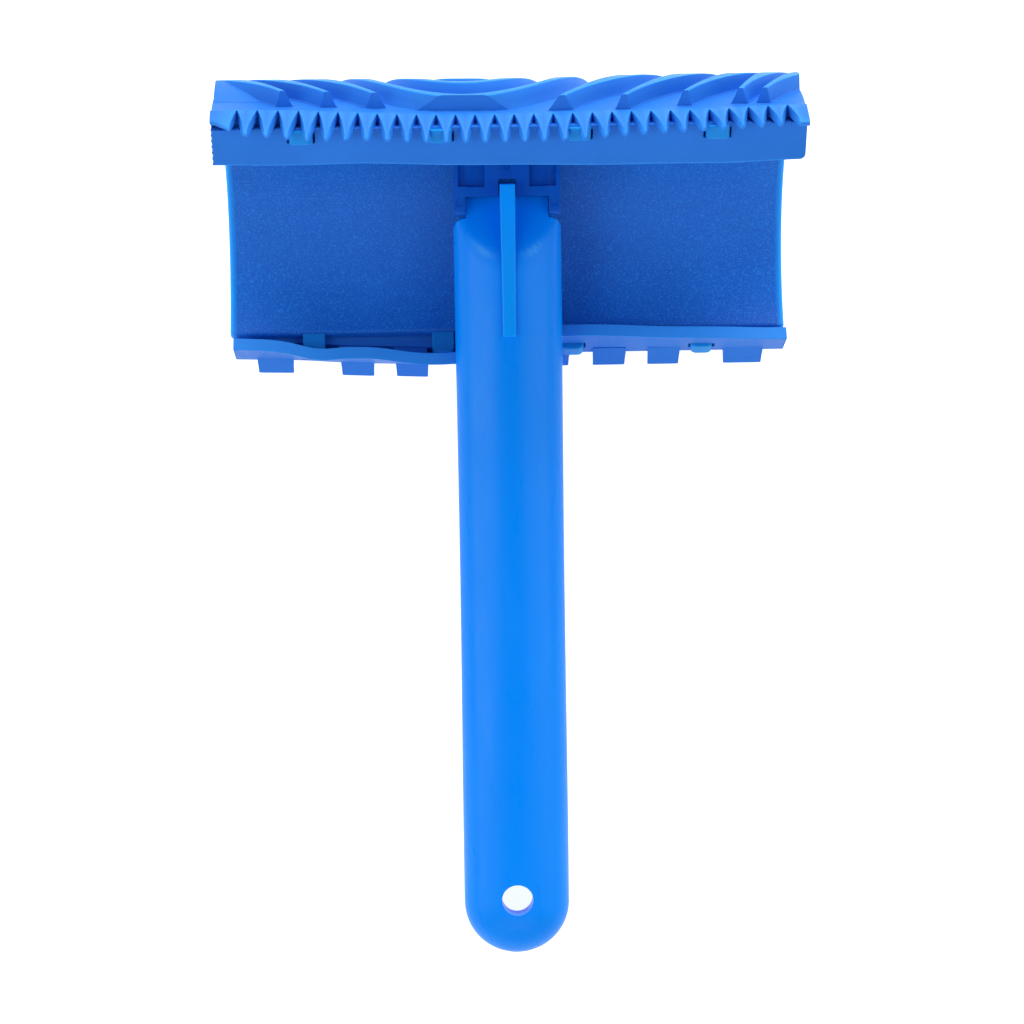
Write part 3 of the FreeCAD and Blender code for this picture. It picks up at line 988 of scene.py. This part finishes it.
def crown(distance):
    """Height of the crowned section at a distance from its middle line."""
    share = min(abs(distance) / GRIP_HALF, 1.0)
    return GRIP_SIDE_H + (GRIP_H - GRIP_SIDE_H) * math.sqrt(1 - share * share)


def slope_height(y):
    """Height of the sloped end, which falls from the crest to the neck."""
    return GRIP_H - (y - SLOPE_Y) * (GRIP_H - NECK_H) / (TONGUE_Y - SLOPE_Y)


def top_height(x, y):
    """Height of the handle's top at a place in plan."""
    if y < TURN_Y:
        return crown(math.hypot(x, y - TURN_Y))
    return soft_min(crown(x), slope_height(y), 1.6)


def fold_shine(x, y):
    """A painted highlight on the arc where the crown turns down into the slope, on both sides of the gusset.
    """
    away = crown(x) - slope_height(y)
    return 0.8 * bump(away, 0.0, 0.45, 0.45) * bump(abs(x), 5.6, 2.0, 2.2)


def grip_columns(steps=30):
    """Places across the grip as shares of its half width, closer together at its sides."""
    return [math.cos(math.pi * k / steps) for k in range(steps + 1)]


def grip_stations():
    """Places along the handle, closer together where its shape changes."""
    bar = spread(PATCH_Y, SLOPE_START, 4.0)
    slope = spread(SLOPE_START, HOLLOW_END - 0.05, 0.8)[1:]
    closed = [HOLLOW_END + 0.05] + spread(HOLLOW_END + 0.45, SHOULDER_Y, 0.4)
    turn = [SHOULDER_Y + SHOULDER_R * math.sin(math.pi / 2 * i / 8) for i in range(1, 9)]
    return bar + slope + closed + turn + spread(SHOULDER_Y + SHOULDER_R, TONGUE_Y, 1.0)[1:]


def grip_ring(y):
    """Plan points across one station, from wall foot to wall foot, as (x, y, outer z, inner x, inner z)."""
    half = half_width_at(y)
    inner_half = half - GRIP_WALL
    hollow = y < HOLLOW_END
    ring = []
    edge = top_height(half, y)
    for depth in WALL_STEPS:
        ring.append((half, y, edge * depth, inner_half, edge * depth * WALL_FOOT if hollow else 0.0))
    for c in grip_columns():
        x = half * c
        x_in = inner_half * c
        z_in = top_height(x_in * half / max(inner_half, 0.1) * 0.66, y) - GRIP_WALL if hollow else 0.0
        ring.append((x, y, top_height(x, y), x_in, max(z_in, 0.0)))
    for depth in reversed(WALL_STEPS):
        ring.append((-half, y, edge * depth, -inner_half, edge * depth * WALL_FOOT if hollow else 0.0))
    return ring


def handle_shell():
    """Grip and round end as one moulding: a strip of stations, and a polar patch round the hang hole."""
    outer, inner, faces, glow = [], [], [], []

    def add(x, y, z, x_in, y_in, z_in):
        glow.append(fold_shine(x, y))
        outer.append(handle_point(x, y, z))
        inner.append(handle_point(x_in, y_in, z_in))
        return len(outer) - 1

    rows = []
    for y in grip_stations():
        rows.append([add(x, yy, z, x_in, yy, z_in) for x, yy, z, x_in, z_in in grip_ring(y)])
    for a, b in zip(rows, rows[1:]):
        for k in range(len(a) - 1):
            faces.append((a[k], a[k + 1], b[k + 1], b[k]))
    patch_round_hole(rows[0], add, faces)
    points, made = thick_faces(outer, inner, faces)
    piece = new_piece("handle_shell", points, made, glow + [0.0] * len(inner), 38.0)
    bevel(piece, 0.45, 3, 50.0)
    return piece


def patch_round_hole(first_row, add, faces):
    """Fills the round end: spokes run from the hang hole to the outline, and on down the side wall."""
    half = half_width_at(PATCH_Y)
    line = [(half * c, PATCH_Y) for c in grip_columns()]
    side_y = spread(PATCH_Y, TURN_Y, 1.1)[1:]
    left = [(-half_width_at(y), y) for y in side_y]
    arc = []
    for i in range(1, ARC_STEPS):
        a = math.pi * i / ARC_STEPS
        arc.append((-GRIP_HALF * math.cos(a), TURN_Y - GRIP_HALF * math.sin(a)))
    right = [(half_width_at(y), y) for y in reversed(side_y)]
    outline = line + left + arc + right
    grid = []
    for index, (bx, by) in enumerate(outline):
        angle = math.pi / 2 + (index - (len(line) - 1) / 2) * 2 * math.pi / len(outline)
        hx, hy = HOLE_R * math.cos(angle), HOLE_Y + HOLE_R * math.sin(angle)
        spoke = []
        for m in range(SPOKES + 1):
            share = math.sin(math.pi / 2 * m / SPOKES) if m else 0.0
            if m == SPOKES and index < len(line):
                spoke.append(first_row[3 + index])
                continue
            x, y = mix(hx, bx, share), mix(hy, by, share)
            spoke.append(add_patch_point(x, y, share, (bx, by), add))
        grid.append(spoke)
    count = len(outline)
    for i in range(count):
        n = (i + 1) % count
        for m in range(SPOKES):
            faces.append((grid[i][m], grid[n][m], grid[n][m + 1], grid[i][m + 1]))
    add_end_wall(grid, outline, len(line), first_row, add, faces)


def wall_way(edge):
    """The way straight out of the side wall at a place on the outline, seen in plan."""
    x, y = edge
    way = Vector((x, y - TURN_Y if y < TURN_Y else 0.0))
    return way.normalized() if way.length > 1e-9 else Vector((1, 0))


def add_patch_point(x, y, share, edge, add):
    """A point of the round end, at a share of the way from the hang hole to the outline."""
    way = wall_way(edge)
    scale = GRIP_WALL * share
    x_in, y_in = x - way.x * scale, y - way.y * scale
    z_in = top_height(x, y) - GRIP_WALL * (1 - 0.25 * share ** 3)
    return add(x, y, top_height(x, y), x_in, y_in, max(z_in, 0.0))


def add_end_wall(grid, outline, line_count, first_row, add, faces):
    """The side wall below the outline of the round end, joined to the grip's walls."""
    columns = []
    for i in range(line_count - 1, len(outline) + 1):
        if i == line_count - 1:
            columns.append([grid[i][-1], first_row[-3], first_row[-2], first_row[-1]])
            continue
        if i == len(outline):
            columns.append([grid[0][-1], first_row[2], first_row[1], first_row[0]])
            continue
        bx, by = outline[i]
        way = wall_way(outline[i])
        x_in, y_in = bx - way.x * GRIP_WALL, by - way.y * GRIP_WALL
        column = [grid[i][-1]]
        for depth in reversed(WALL_STEPS):
            height = GRIP_SIDE_H * depth
            column.append(add(bx, by, height, x_in, y_in, height * WALL_FOOT))
        columns.append(column)
    for a, b in zip(columns, columns[1:]):
        for k in range(3):
            faces.append((a[k], b[k], b[k + 1], a[k + 1]))


# ---------------------------------------------------------------- build


carrier = carrier_material()
painted_light_hook_plastic = handle_material("painted_light_hook_plastic", HOOK_PAINTED_LIGHT, HOOK_PAINTED_LIGHT_DEEP, HOOK_FLOW_AND_PAINTED_HIGHLIGHT)
painted_shade_socket_plastic = handle_material("painted_shade_socket_plastic", SOCKET_PAINTED_SHADE, SOCKET_PAINTED_SHADE_DEEP, SOCKET_GLOW)
painted_light_gusset_plastic = handle_material("painted_light_gusset_plastic", GUSSET_PAINTED_LIGHT, GUSSET_PAINTED_LIGHT_DEEP, HANDLE_FLOW_AND_PAINTED_HIGHLIGHT)
handle_plastic = handle_material("handle_plastic", HANDLE, HANDLE_DEEP, HANDLE_FLOW_AND_PAINTED_HIGHLIGHT)
rubber = rubber_material()


def head_piece(piece, material, slot, node):
    finish_piece(piece, material, "head", slot, node)


def handle_piece(piece, material, *nodes):
    finish_piece(piece, material, "handle", "handle_plastic", *nodes)


head_piece(carrier_shell(), carrier, "carrier_plastic", "carrier_shell")
socket = from_cad("socket", "handle_socket", 0.25, EAR_MARKS, POCKETS)
head_piece(socket, painted_shade_socket_plastic, "carrier_plastic", "handle_socket")
head_piece(hooks("hooks_upper", ARC_HIGH, 1), painted_light_hook_plastic, "carrier_plastic", "upper_pad_hooks")
head_piece(hooks("hooks_lower", ARC_LOW, -1), painted_light_hook_plastic, "carrier_plastic", "lower_pad_hooks")
head_piece(graining_pad(), rubber, "pad_rubber", "graining_pad")
upper_flange = flange("pad_flange_upper", ARC_HIGH, UPPER_EDGE_R, 1)
head_piece(upper_flange, rubber, "pad_rubber", "pad_upper_flange")
lower_flange = flange("pad_flange_lower", ARC_LOW, LOWER_EDGE_R, -1)
head_piece(lower_flange, rubber, "pad_rubber", "pad_lower_flange")
head_piece(comb(), rubber, "pad_rubber", "pad_comb")
handle_piece(handle_shell(), handle_plastic, "handle_grip", "handle_hang_end")
handle_piece(from_cad("tongue", "handle_tongue", 0.3), handle_plastic, "handle_tongue")
handle_piece(from_cad("gusset", "handle_gusset", 0.3), painted_light_gusset_plastic, "handle_gusset")


# ---------------------------------------------------------------- studio

# Area lights: name, place, what each points at, width, height and power
LIGHTS = (
    ("left", (-0.75, -0.15, 0.75), (0, 0.02, 0.02), 0.5, 1.0, 5.0),
    ("right", (0.8, -0.1, 0.8), (0, 0.02, 0.02), 0.6, 1.0, 4.0),
    ("front", (0.0, -0.9, 0.8), (0, 0.0, 0.02), 1.0, 0.5, 2.2),
    ("back", (0.1, 1.0, 0.42), (0, 0.08, 0.05), 1.4, 0.4, 13.0),
)
FLOOR_SIZE = 6.0
CAMERA_PLACE = (-14.93 * MM, 7.80 * MM, 709.07 * MM)
CAMERA_TURN = (-0.0067, -0.0219, -0.0172)
CAMERA_LENS = 108.6


def studio():
    bpy.ops.mesh.primitive_plane_add(size=FLOOR_SIZE, location=(0, 0, 0))
    floor = bpy.context.object
    floor.name = "floor"
    floor.data.materials.append(floor_material())
    bpy.context.scene.world = soft_world()
    for light in LIGHTS:
        add_light(*light)
    view = bpy.context.scene.view_settings
    view.view_transform = "Standard"
    view.look = "None"


def soft_world():
    """A pale surround that is dimmer overhead, so that level faces don't mirror white."""
    world = bpy.data.worlds.new("studio")
    world.use_nodes = True
    tree = world.node_tree
    place = tree.nodes.new("ShaderNodeTexCoord")
    parts = tree.nodes.new("ShaderNodeSeparateXYZ")
    tree.links.new(place.outputs["Generated"], parts.inputs["Vector"])
    strength = mapped(tree, parts.outputs["Z"], 0.3, 0.95, 0.6, 0.1)
    sky = tree.nodes["Background"]
    sky.inputs["Color"].default_value = (1.0, 1.0, 1.0, 1.0)
    tree.links.new(strength, sky.inputs["Strength"])
    return world


def add_light(name, place, aim, width, height, power):
    data = bpy.data.lights.new(name, "AREA")
    data.shape = "RECTANGLE"
    data.size = width
    data.size_y = height
    data.energy = power
    light = bpy.data.objects.new(name, data)
    bpy.context.collection.objects.link(light)
    light.location = place
    way = Vector(aim) - Vector(place)
    light.rotation_euler = way.to_track_quat("-Z", "Y").to_euler()


def camera():
    """A long lens almost straight above the tool, as in the photo."""
    data = bpy.data.cameras.new("camera")
    data.lens = CAMERA_LENS
    data.sensor_width = 36.0
    data.clip_start = 0.02
    data.clip_end = 20.0
    eye = bpy.data.objects.new("camera", data)
    bpy.context.collection.objects.link(eye)
    eye.location = CAMERA_PLACE
    eye.rotation_euler = Euler(CAMERA_TURN, "XYZ")
    bpy.context.scene.camera = eye


studio()
camera()

bpy.context.view_layer.update()
